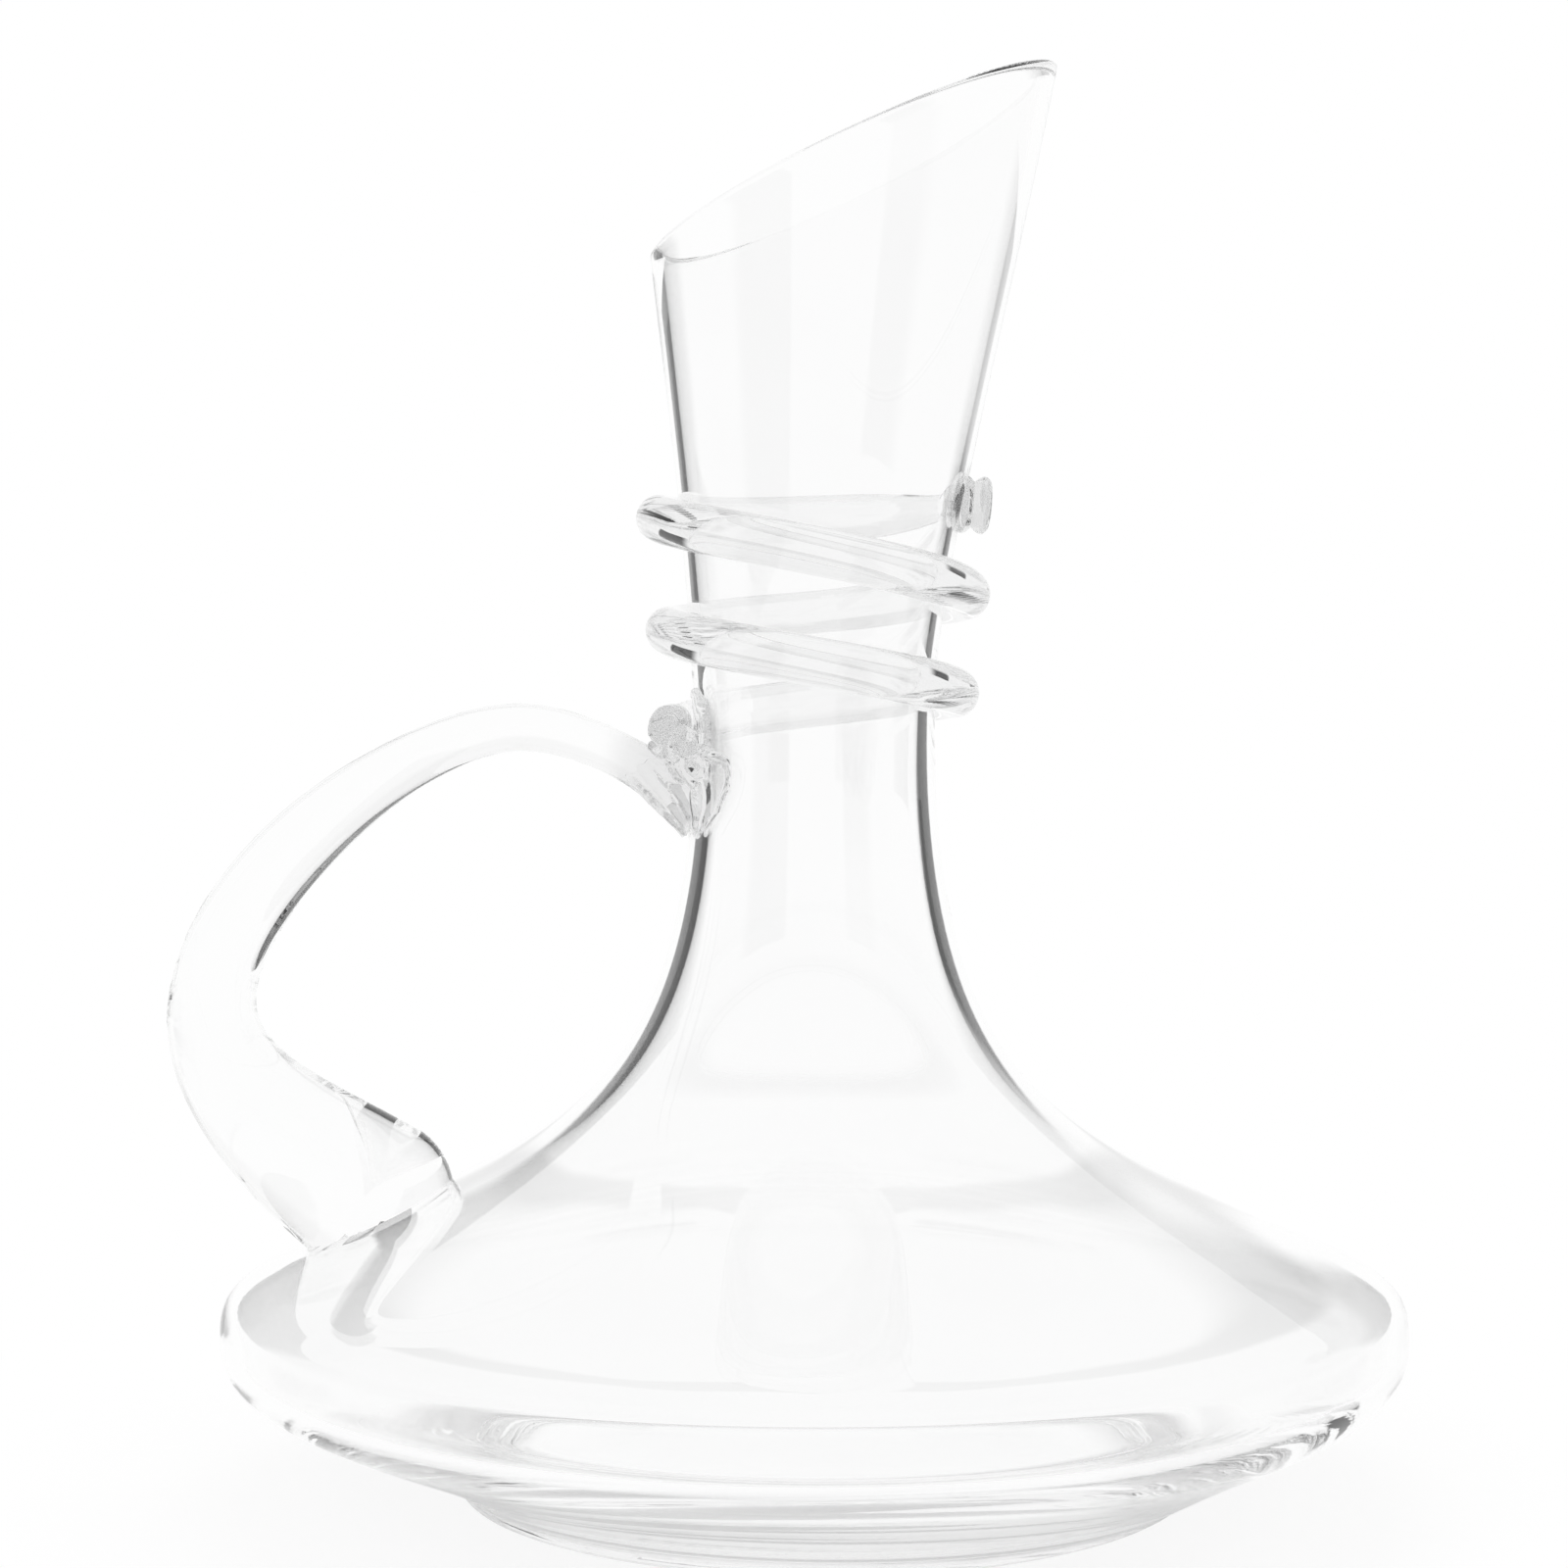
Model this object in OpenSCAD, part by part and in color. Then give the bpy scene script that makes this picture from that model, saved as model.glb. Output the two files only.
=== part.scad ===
// Glass wine carafe: a squat blown body with a long neck that leans and flares to a slanted pouring lip,
// a pulled handle from the neck to the shoulder, and a glass trail wound round the neck. It is all one
// piece of glass. The foot's ring stands on z = 0 and the body's axis is z; the handle is on -X and the
// tip of the lip on +X.

/* [Body] */
// Diameter at the widest point
body_d = 209; // [185:1:235]
// Height of the widest point above the table
body_z = 28.2; // [26:0.2:32]
// Outer diameter of the ring that the carafe stands on
foot_d = 127.4; // [110:0.2:140]
// Width of that ring
foot_ring_w = 5; // [3:0.5:9]
// How far the heel above that ring stands out past it
heel_out = 1.6; // [1:0.2:5]
// Height of the heel
heel_h = 1.6; // [1:0.2:4]
// Steepness of the underside where it leaves the heel, in degrees
under_angle = 34.5; // [25:0.5:40]
// Diameter where the shoulder turns from full to hollow
shoulder_d = 136; // [120:1:150]
// Height of that turn
shoulder_z = 52; // [47:0.5:60]
// Slope of the shoulder at that turn, in degrees
shoulder_angle = 25.5; // [18:0.5:32]

/* [Neck] */
// Diameter at the narrowest place
neck_d = 42.8; // [36:0.2:54]
// Height of the narrowest place
neck_z = 136; // [126:1:150]
// Diameter that the flare reaches level with the tip of the lip
lip_d = 76; // [64:1:90]
// Overall height, to the tip of the lip
height = 250; // [235:1:275]
// How far the lip over the handle lies below the tip
lip_drop = 33; // [15:1:45]
// How far the lip's high side is turned toward the front, in degrees
lip_turn = 5; // [-15:1:15]
// Lean of the upper neck toward the tip, in degrees
lean = 2.6; // [0:0.1:5]

/* [Glass] */
// Wall of the body
body_wall = 3.3; // [2.4:0.1:4.5]
// Wall of the neck at its narrowest
neck_wall = 2.7; // [2:0.1:4]
// Wall at the lip
lip_wall = 2.4; // [1.8:0.1:4]
// Thickness of the floor at the axis
floor_t = 7; // [5:0.5:11]
// Depth of the hollow inside the foot's ring
punt_h = 2.2; // [1:0.1:3.5]

/* [Handle] */
// Diameter of the handle's thin end, at the neck
handle_d = 8.2; // [6.5:0.1:11]
// Diameter of its root in the neck
handle_root_d = 12; // [8:0.5:16]
// Diameter at its outermost point
handle_mid_d = 16.2; // [11:0.2:20]
// Thickness where it lands on the shoulder
handle_end_d = 28; // [20:0.5:34]
// Distance from the axis to the outermost point of its centreline
handle_reach = 107; // [95:1:125]
// Height of that point
handle_mid_z = 84; // [78:1:96]
// Height of the top of its centreline
handle_top_z = 134.2; // [124:1:146]
// Distance from the axis to that top
handle_top_x = 52; // [46:1:62]
// How far its centreline meets the neck below that top
handle_fall = 15; // [9:0.5:22]
// Distance from the axis to the place where its centreline lands on the shoulder
handle_land = 77; // [70:1:84]
// Width across the handle, as a share of its thickness in the side view
handle_flat = 0.94; // [0.8:0.02:1]

/* [Trail] */
// How far the trail stands out from the neck
trail_out = 8.3; // [6:0.1:11]
// Height of the trail's section
trail_tall = 7.4; // [6:0.1:11]
// Depth that the trail sinks into the neck
trail_sink = 1; // [0.8:0.1:1.4]
// Height of its centreline where it leaves the handle
trail_z = 134; // [126:0.5:142]
// Rise of a whole turn
trail_pitch = 17.6; // [14:0.2:22]
// Part of that rise which a back half-turn takes
trail_back = 5.5; // [2:0.5:9]
// Number of half-turns
trail_halves = 5; // [3:2:5]
// Angle by which the last half-turn stops short, behind the button
trail_short = 24; // [12:1:30]
// Angle by which the trail runs on into the lump at the handle's top
trail_tuck = 9; // [4:1:12]
// Diameter of the button at the trail's end
button_d = 10.4; // [8:0.2:13]
// Thickness of that button
button_t = 5.4; // [4:0.2:7]

/* [Hidden] */
glass = [0.86, 0.9, 0.9, 0.45];
round_n = 96;      // sides of a turned surface
arc_n = 10;        // steps along each curve of the profile
body_r = body_d / 2;
foot_r = foot_d / 2;
neck_r = neck_d / 2;
lip_r = lip_d / 2;
shoulder_r = shoulder_d / 2;
throat = 1.5;      // half length of the straight piece at the narrowest place
over = 12;         // length of flare above the tip that the slanted cut takes off
far = 2 * (body_d + height);

// point and direction on a curve with two end points and two handles
function curve_pt(c, t) = pow(1 - t, 3) * c[0] + 3 * pow(1 - t, 2) * t * c[1]
    + 3 * (1 - t) * t * t * c[2] + pow(t, 3) * c[3];
function curve_way(c, t) = let (d = pow(1 - t, 2) * (c[1] - c[0]) + 2 * (1 - t) * t * (c[2] - c[1])
    + t * t * (c[3] - c[2])) d / norm(d);
function mix(a, b, t) = a + (b - a) * t;

// the wall's curves, from the foot's ring up: underside, full shoulder, hollow shoulder, flare
heel_r = foot_r + heel_out;
under = [[heel_r, heel_h], [heel_r, heel_h] + (body_r - heel_r) * 0.62 * [cos(under_angle), sin(under_angle)],
    [body_r, body_z * 0.58], [body_r, body_z]];
full = [[body_r, body_z], [body_r, body_z + (shoulder_z - body_z) * 0.43],
    [shoulder_r, shoulder_z] + (body_r - shoulder_r) * 1.04 * [cos(shoulder_angle), -sin(shoulder_angle)],
    [shoulder_r, shoulder_z]];
hollow = [[shoulder_r, shoulder_z],
    [shoulder_r, shoulder_z] + (shoulder_r - neck_r) * 0.7 * [-cos(shoulder_angle), sin(shoulder_angle)],
    [neck_r, neck_z - throat - (neck_z - shoulder_z) * 0.69], [neck_r, neck_z - throat]];
flare_top = height - neck_z + over;
flare = [[neck_r, throat], [neck_r, throat + flare_top * 0.22],
    [lip_r + 1 - flare_top * 0.031, flare_top * 0.7], [lip_r + 1, flare_top]];

// outer wall points, and inner ones set in square to them by the wall
function outer(c) = [for (i = [0 : arc_n]) curve_pt(c, i / arc_n)];
function inner(c, w0, w1) = [for (i = [0 : arc_n]) let (t = i / arc_n, w = curve_way(c, t))
    curve_pt(c, t) + mix(w0, w1, t) * [-w[1], w[0]]];
function rest(list) = [for (i = [1 : len(list) - 1]) list[i]];

low_outer = concat([[0, punt_h], [foot_r - foot_ring_w - punt_h, punt_h], [foot_r - foot_ring_w, 0],
    [foot_r, 0], [foot_r + heel_out * 0.72, heel_h * 0.3]], outer(under), rest(outer(full)),
    rest(outer(hollow)), [[neck_r, neck_z + throat], [0, neck_z + throat]]);
low_inner_wall = [for (p = concat(inner(under, floor_t, body_wall), rest(inner(full, body_wall, body_wall)),
    rest(inner(hollow, body_wall, neck_wall)))) if (p[1] > floor_t + 0.4) p];
floor_r = low_inner_wall[0][0] - (low_inner_wall[0][1] - floor_t) * 2;
low_inner = concat([[0, floor_t], [floor_r, floor_t]], low_inner_wall,
    [[neck_r - neck_wall, neck_z + throat], [0, neck_z + throat]]);
up_outer = concat([[0, -throat], [neck_r, -throat]], outer(flare), [[0, flare_top]]);
up_inner = concat([[0, -throat], [neck_r - neck_wall, -throat]], inner(flare, neck_wall, lip_wall),
    [[0, flare_top + 1]]);

// radius of the outer wall above the throat, and how far the lean has carried it, at a height
flare_table = [for (p = concat([[neck_r, -throat]], outer(flare))) [p[1], p[0]]];
hollow_table = [for (p = outer(hollow)) [p[1], p[0]]];
shoulder_table = [for (i = [arc_n : -1 : 0]) let (p = curve_pt(full, i / arc_n)) p];
function wall_r(z) = z < neck_z ? lookup(z, hollow_table) : lookup(z - neck_z, flare_table);
function lean_x(z) = max(0, z - neck_z) * tan(lean);
tip_x = lean_x(height) + wall_r(height);
heel_x = lean_x(height - lip_drop) - wall_r(height - lip_drop);
lip_slope = atan2(lip_drop, tip_x - heel_x);

// everything below, or above, the slanted joint plane in the throat
module below() {
    translate([0, 0, neck_z]) rotate([0, lean / 2, 0])
        translate([-far / 2, -far / 2, -far]) cube([far, far, far]);
}
module above() {
    translate([0, 0, neck_z]) rotate([0, lean / 2, 0])
        translate([-far / 2, -far / 2, 0]) cube([far, far, far]);
}
module blown(low, up) {
    intersection() {
        rotate_extrude($fn = round_n) polygon(low);
        below();
    }
    intersection() {
        translate([0, 0, neck_z]) rotate([0, lean, 0]) rotate_extrude($fn = round_n) polygon(up);
        above();
    }
}
// the space inside, with a plug across the joint so that nothing is left standing there
module inside() {
    blown(low_inner, up_inner);
    translate([0, 0, neck_z]) rotate([0, lean / 2, 0])
        cylinder(r = neck_r - neck_wall - 0.1, h = throat, center = true, $fn = round_n);
}

// the lip's slanted cut
module lip_cut() {
    translate([tip_x, 0, height]) rotate([0, 0, -lip_turn]) rotate([0, -lip_slope, 0])
        translate([-far, -far, 0]) cube([2 * far, 2 * far, far]);
}

// the handle's centreline in the XZ plane: neck to top, top to outermost point, then down to the shoulder
handle_root = [-neck_r + neck_wall + 3, handle_top_z - handle_fall - 4];
handle_top = [-handle_top_x, handle_top_z];
handle_out = [-handle_reach, handle_mid_z];
landing = [-handle_land, lookup(handle_land, shoulder_table) + 1];
fall = [0.82, -0.57];
handle_a = [handle_root, handle_root + [-9, 9], handle_top + [10, 0], handle_top];
handle_b = [handle_top, handle_top + [-20, 0], handle_out + [0, 22], handle_out];
handle_c = [handle_out, handle_out + [0, -14], landing - 17 * fall, landing];
handle_line = concat(
    [for (i = [0 : 6]) let (t = i / 7) [curve_pt(handle_a, t), curve_way(handle_a, t),
        mix(handle_root_d, handle_d, min(1, 2 * t))]],
    [for (i = [0 : 9]) let (t = i / 10) [curve_pt(handle_b, t), curve_way(handle_b, t),
        mix(handle_d, handle_mid_d, t)]],
    [for (i = [0 : 10]) let (t = i / 10) [curve_pt(handle_c, t), curve_way(handle_c, t),
        mix(handle_mid_d, handle_end_d, t)]],
    [for (s = [[0.17, 0.84], [0.24, 0.55]]) [landing + s[0] * handle_end_d * fall, fall, handle_end_d * s[1]]]);
handle_n = 20;

// a skin over rings of points, closed at both ends
module skin(rings) {
    m = len(rings);
    n = len(rings[0]);
    polyhedron(points = [for (r = rings) for (p = r) p],
        faces = concat([[for (j = [n - 1 : -1 : 0]) j]],
            [for (i = [0 : m - 2]) for (j = [0 : n - 1]) for (k = [0, 1])
                k == 0 ? [i * n + j, i * n + (j + 1) % n, (i + 1) * n + j]
                    : [i * n + (j + 1) % n, (i + 1) * n + (j + 1) % n, (i + 1) * n + j]],
            [[for (j = [0 : n - 1]) (m - 1) * n + j]]), convexity = 6);
}
module handle() {
    skin([for (s = handle_line) [for (j = [0 : handle_n - 1]) let (a = 360 * j / handle_n, r = s[2] / 2,
        up = r * cos(a), side = r * sin(a) * handle_flat)
        [s[0][0] - s[1][1] * up, side, s[0][1] + s[1][0] * up]]]);
}

// the trail: half-turns in slanted planes that meet at the neck's left and right sides
trail_mid = trail_out / 2 - trail_sink / 2;
trail_lap = 3;     // angle by which each half-turn runs into the next one
function side_z(k) = trail_z + floor(k / 2) * trail_pitch + (k % 2) * trail_back;
function side_x(k) = lean_x(side_z(k)) + (k % 2 == 0 ? -1 : 1) * (wall_r(side_z(k)) + trail_mid);
module half_turn(k, before, after) {
    a = [side_x(k), side_z(k)];
    b = [side_x(k + 1), side_z(k + 1)];
    right = k % 2 == 0 ? b : a;
    left = k % 2 == 0 ? a : b;
    tilt = atan2(right[1] - left[1], right[0] - left[0]);
    rad = norm(right - left) / 2;
    translate([(a[0] + b[0]) / 2, 0, (a[1] + b[1]) / 2]) rotate([0, -tilt, 0])
        rotate([0, 0, (k % 2 == 0 ? 0 : 180) - before])
            rotate_extrude(angle = 180 + before + after, $fn = round_n)
                translate([rad, 0]) polygon([for (j = [0 : 15]) let (q = 360 * j / 16)
                    [(trail_out + trail_sink) / 2 * cos(q), trail_tall / 2 * sin(q)]]);
}
// a smooth lump: half sizes across and along its axis
module lump(across, along) {
    rotate_extrude($fn = 32) polygon(concat([[0, -along]],
        [for (j = [1 : 11]) let (q = -90 + 180 * j / 12) [across * cos(q), along * sin(q)]], [[0, along]]));
}
module trail() {
    last = trail_halves;
    for (k = [0 : last - 1])
        half_turn(k, k == last - 1 ? -trail_short : trail_lap, k == 0 ? trail_tuck : trail_lap);
    end_x = lean_x(side_z(last)) + wall_r(side_z(last));
    translate([end_x + button_t / 2 - trail_sink, 0, side_z(last)])
        rotate([0, 90, 0]) lump(button_d / 2, button_t / 2);
    // the pinched stem between the rod's end and the button
    translate([end_x - 0.4, 6, side_z(last)]) rotate([90, 0, -14]) lump(2.8, 9);
}

// the lump of folded glass where the handle and the trail meet the neck
module join() {
    translate([-neck_r + 1, -5, handle_root[1] + 10]) rotate([0, 8, 0]) lump(8, 9.5);
    translate([side_x(0) + 0.4, -2.6, trail_z + 2.4]) rotate([0, 20, 0]) lump(5, 5.4);
    translate([-neck_r - 5, -2, trail_z - 4]) rotate([0, 60, 0]) lump(3.6, 5);
}

module carafe() {
    color(glass) difference() {
        union() {
            blown(low_outer, up_outer);
            handle();
            trail();
            join();
        }
        inside();
        lip_cut();
    }
}

carafe();
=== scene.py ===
import math

import bmesh
import bpy
from mathutils import Matrix, Vector, noise


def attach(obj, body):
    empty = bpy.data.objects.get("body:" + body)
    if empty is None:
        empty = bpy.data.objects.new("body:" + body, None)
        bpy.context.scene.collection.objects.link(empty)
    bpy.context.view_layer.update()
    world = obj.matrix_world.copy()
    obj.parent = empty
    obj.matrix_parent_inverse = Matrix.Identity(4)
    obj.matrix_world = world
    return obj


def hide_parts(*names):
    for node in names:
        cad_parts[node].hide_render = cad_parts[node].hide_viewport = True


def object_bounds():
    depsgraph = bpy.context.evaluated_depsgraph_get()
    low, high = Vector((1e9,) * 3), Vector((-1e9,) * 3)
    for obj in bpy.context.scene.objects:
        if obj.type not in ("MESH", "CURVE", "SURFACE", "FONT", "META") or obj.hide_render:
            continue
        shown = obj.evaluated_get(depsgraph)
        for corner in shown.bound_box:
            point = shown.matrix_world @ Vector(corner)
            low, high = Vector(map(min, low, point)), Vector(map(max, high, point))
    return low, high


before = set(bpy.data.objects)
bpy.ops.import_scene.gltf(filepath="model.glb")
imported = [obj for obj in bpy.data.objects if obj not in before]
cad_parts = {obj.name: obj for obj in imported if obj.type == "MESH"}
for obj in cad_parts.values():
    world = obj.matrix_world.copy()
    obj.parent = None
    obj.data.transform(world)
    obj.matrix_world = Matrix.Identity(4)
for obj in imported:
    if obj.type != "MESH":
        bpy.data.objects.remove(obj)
cadLow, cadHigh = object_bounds()  # box of the CAD model, in metres
millimetre = 0.001  # the glass is drawn in millimetres and scaled to metres once, at the end
glassName = "carafe"
print("carafe: frame loaded")


# small helpers for curves, rings and things

def curvePoint(handles, t):
    a, b, c, d = handles
    s = 1 - t
    return a * s ** 3 + b * (3 * s * s * t) + c * (3 * s * t * t) + d * t ** 3


def soften(t):
    t = min(1.0, max(0.0, t))
    return t * t * (3 - 2 * t)


def between(knots, x):
    # knots are (place, value) pairs in rising order, joined by one flowing line
    if x <= knots[0][0]:
        return knots[0][1]
    if x >= knots[-1][0]:
        return knots[-1][1]
    slopes = []
    for i in range(len(knots)):
        (xa, va), (xb, vb) = knots[max(i - 1, 0)], knots[min(i + 1, len(knots) - 1)]
        slopes.append((vb - va) / (xb - xa))
    for i in range(len(knots) - 1):
        (x0, v0), (x1, v1) = knots[i], knots[i + 1]
        if x <= x1:
            span = x1 - x0
            t = (x - x0) / span
            s = 1 - t
            return (v0 * s * s * (1 + 2 * t) + v1 * t * t * (1 + 2 * s)
                    + span * t * s * (slopes[i] * s - slopes[i + 1] * t))


def threadThrough(knots, steps):
    # a smooth path through the knots, with even steps in each span
    ends = [knots[0] * 2 - knots[1]] + list(knots) + [knots[-1] * 2 - knots[-2]]
    path = []
    for i in range(1, len(ends) - 2):
        p0, p1, p2, p3 = ends[i - 1:i + 3]
        for k in range(steps):
            t = k / steps
            path.append(0.5 * (p1 * 2 + (p2 - p0) * t + (p0 * 2 - p1 * 5 + p2 * 4 - p3) * t ** 2
                               + (p1 * 3 - p0 - p2 * 3 + p3) * t ** 3))
    return path + [knots[-1]]


def anglesRound(sides):
    return [2 * math.pi * j / sides for j in range(sides)]


def addThing(name, data):
    thing = bpy.data.objects.new(name, data)
    bpy.context.scene.collection.objects.link(thing)
    return thing


def skinRings(name, rings):
    # quads between rings of equal count, a fan or a single face at each end
    bm = bmesh.new()
    rows = [[bm.verts.new(p) for p in ring] for ring in rings]
    for low, high in zip(rows, rows[1:]):
        count = max(len(low), len(high))
        for j in range(count):
            k = (j + 1) % count
            if len(low) == 1:
                bm.faces.new((low[0], high[k], high[j]))
            elif len(high) == 1:
                bm.faces.new((low[j], low[k], high[0]))
            else:
                bm.faces.new((low[j], low[k], high[k], high[j]))
    for row in (rows[0], rows[-1]):
        if len(row) > 1:
            bm.faces.new(row)
    bmesh.ops.recalc_face_normals(bm, faces=bm.faces[:])
    mesh = bpy.data.meshes.new(name)
    bm.to_mesh(mesh)
    bm.free()
    return addThing(name, mesh)


# the blown body: a squat belly, a long neck that leans, and a slanted pouring lip

blown = {
    "bellyRadius": cadHigh.y / millimetre - 0.01,  # a hair inside the CAD model
    "bellyHeight": 28.2,
    "footRadius": 63.7,
    "ringWidth": 4.6,
    # section of the foot's ring: (distance out from its inner or outer edge, height)
    "ringInner": [(-1.5, 1.76), (-0.5, 0.66), (0, 0.1), (0.5, 0)],
    "ringOuter": [(-0.5, 0), (-0.1, 0.08), (0.56, 0.35), (1.28, 0.9)],
    "heelOut": 1.6,
    "heelHeight": 1.6,
    "underAngle": math.radians(34.5),
    "shoulderRadius": 68.0,
    "shoulderHeight": 52.0,
    "shoulderAngle": math.radians(25.5),
    "neckRadius": 21.4,
    "neckHeight": 136.0,
    "tipHeight": 250.0,
    "spareHeight": 12.0,  # what is drawn over the tip, before the slanted cut
    "spareRadius": 39.0,  # at the top of that
    # how far each stretch of the outside is pulled along its two ends, as shares of the stretch
    "underPulls": (0.62, 0.58),
    "fullPulls": (0.43, 1.04),
    "hollowPulls": (0.7, 0.69),
    "flarePulls": (0.23, 0.7),
    "flareSlope": 0.031,
    "lipDrop": 33.0,  # from the tip down to the low side of the lip
    "lipTurn": math.radians(5),
    "rimRound": 0.55,
    "leanStart": 150.0,
    "leanSoft": 13.0,
    "leanSlope": 0.052,
    "walls": [(2, 6.2), (9, 4.4), (28, 3.3), (52, 3.4), (73, 3.6), (120, 3.5), (136, 2.9), (152, 2.1),
              (193, 1.9), (262, 2.5)],  # (height, thickness)
    "puntHeight": 2.2,  # the hollow under the foot
    "puntDome": 0.6,
    "puntEdge": 2.6,  # from the hollow's last level ring to the foot's ring
    "floorHeight": 5.8,
    "floorDome": 0.7,
    "floorRound": 3.4,  # height of the round corner from the floor to the wall
    "cornerRun": 2.2,  # how far it runs along the floor, as a share of that
    "cornerPull": 0.8,
    "footDrift": 1.6,  # the foot sits a little toward the tip, as on a hand-finished piece
    "underDrift": 3.3,
    "driftPeak": 6.0,  # height of the greatest drift, and how far over it the drift fades out
    "driftFade": 20.0,
    "sides": 160,
    "steps": (34, 34, 38, 44),  # rings on the underside, the belly's top, the shoulder and the lip
    "neckSteps": 48,
    "floorSteps": 12,
    "cornerSteps": 8,
    "neckFrom": 72.0,  # over this height, rods are kept out of the neck's hollow
    "shoulderTo": 67.0,  # under this height, rods are kept out of the belly's hollow
}


def axisShift(z):
    # how far the ring at this height has moved toward the tip
    b = blown
    rise = z - b["leanStart"]
    soft = b["leanSoft"]
    if rise < -soft:
        lean = 0.0
    elif rise < soft:
        lean = (rise + soft) ** 2 / (4 * soft)
    else:
        lean = rise
    peak = b["driftPeak"]
    if z < peak:
        more = (b["underDrift"] - b["footDrift"]) * math.sin(math.pi / (2 * peak) * max(0, z))
        drift = b["footDrift"] + more
    else:
        drift = b["underDrift"] * math.cos(math.pi / 2 * min(1, (z - peak) / b["driftFade"])) ** 2
    return lean * b["leanSlope"] + drift


def wallProfile():
    # (radius, height) along the outside, from the heel to the spare height over the tip
    b = blown
    heel = Vector((b["footRadius"] + b["heelOut"], b["heelHeight"]))
    belly = Vector((b["bellyRadius"], b["bellyHeight"]))
    shoulder = Vector((b["shoulderRadius"], b["shoulderHeight"]))
    neck = Vector((b["neckRadius"], b["neckHeight"]))
    slope = Vector((math.cos(b["shoulderAngle"]), -math.sin(b["shoulderAngle"])))
    out = Vector((math.cos(b["underAngle"]), math.sin(b["underAngle"])))
    first, last = b["underPulls"]
    under = [heel, heel + (belly.x - heel.x) * first * out, Vector((belly.x, belly.y * last)), belly]
    first, last = b["fullPulls"]
    full = [belly, Vector((belly.x, belly.y + (shoulder.y - belly.y) * first)),
            shoulder + slope * (belly.x - shoulder.x) * last, shoulder]
    first, last = b["hollowPulls"]
    hollow = [shoulder, shoulder - slope * (shoulder.x - neck.x) * first,
              Vector((neck.x, neck.y - (neck.y - shoulder.y) * last)), neck]
    first, last = b["flarePulls"]
    rise = b["tipHeight"] - neck.y + b["spareHeight"]
    top = Vector((b["spareRadius"], neck.y + rise))
    flare = [neck, Vector((neck.x, neck.y + rise * first)),
             Vector((top.x - rise * b["flareSlope"], neck.y + rise * last)), top]
    points = []
    for handles, steps in zip((under, full, hollow, flare), b["steps"]):
        points += [curvePoint(handles, k / steps) for k in range(steps)]
    return points + [top]


outside = wallProfile()


def insideProfile():
    # the outside, set in square to itself by the wall's thickness, down to the floor's round corner
    b = blown
    points = []
    for i, p in enumerate(outside):
        ahead = outside[min(i + 1, len(outside) - 1)] - outside[max(i - 1, 0)]
        inward = Vector((-ahead.y, ahead.x)).normalized()
        points.append(p + inward * between(b["walls"], p.y))
    floor, corner, steps = b["floorHeight"], b["floorRound"], b["floorSteps"]
    wall = [p for p in points if p.y > floor + corner]
    edge = wall[0]
    way = (wall[1] - wall[0]).normalized()
    foot = Vector((edge.x - corner * b["cornerRun"], floor))
    turn = [foot, foot + Vector((corner, 0)), edge - way * corner * b["cornerPull"], edge]
    flat = []
    for k in range(steps):
        flat.append(Vector((foot.x * k / steps, floor + b["floorDome"] * (1 - soften(k / steps)))))
    return flat + [curvePoint(turn, k / b["cornerSteps"]) for k in range(b["cornerSteps"])] + wall


inside = insideProfile()


def radiusAt(profile, z):
    for p, q in zip(profile, profile[1:]):
        if p.y <= z <= q.y:
            return p.x + (q.x - p.x) * (z - p.y) / (q.y - p.y)
    return profile[-1].x


def heightAt(r):
    # height of the outside at a radius over the belly's widest ring
    first = blown["steps"][0]
    for p, q in zip(outside[first:], outside[first + 1:]):
        if q.x <= r <= p.x:
            return p.y + (q.y - p.y) * (p.x - r) / max(1e-9, p.x - q.x)
    return outside[0].y


tipReach = axisShift(blown["tipHeight"]) + radiusAt(outside, blown["tipHeight"])
tip = Vector((tipReach, 0, blown["tipHeight"]))
lowLip = blown["tipHeight"] - blown["lipDrop"]
lipSlope = blown["lipDrop"] / (tip.x - axisShift(lowLip) + radiusAt(outside, lowLip))


def aboveCut(p):
    # height of a point over the slanted plane of the lip
    turn = blown["lipTurn"]
    along = (p.x - tip.x) * math.cos(turn) - p.y * math.sin(turn)
    return p.z - tip.z - along * lipSlope


def onWall(profile, place, angle):
    # a point on the turned surface: place counts along the profile's points
    i = min(int(place), len(profile) - 2)
    flat = profile[i].lerp(profile[i + 1], place - i)
    return Vector((axisShift(flat.y) + flat.x * math.cos(angle), flat.x * math.sin(angle), flat.y))


def cutPlace(profile, angle):
    # where the profile meets the lip's plane at this angle
    low, high = 0.0, float(len(profile) - 1)
    while high - low > 1e-4:
        middle = (low + high) / 2
        if aboveCut(onWall(profile, middle, angle)) > 0:
            high = middle
        else:
            low = middle
    return low


def wallRings(profile, straightTo):
    # level rings up to the neck, then rings that turn by degrees into the slant of the lip
    angles = anglesRound(blown["sides"])
    cuts = [cutPlace(profile, a) for a in angles]
    rings = [[onWall(profile, i, a) for a in angles] for i in range(straightTo + 1)]
    steps = blown["neckSteps"]
    for k in range(1, steps + 1):
        ring = []
        for a, cut in zip(angles, cuts):
            top = cut - blown["rimRound"] / (profile[int(cut)] - profile[int(cut) + 1]).length
            ring.append(onWall(profile, straightTo + (top - straightTo) * k / steps, a))
        rings.append(ring)
    edge = [onWall(profile, c, a) for a, c in zip(angles, cuts)]
    return rings, edge


def roundOff(wall, edge, far, share):
    # a soft corner from the wall over the edge onto the ground face of the rim
    face = edge + (far - edge).normalized() * blown["rimRound"]
    s = 1 - share
    return wall * s * s + edge * (2 * s * share) + face * share * share


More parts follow.
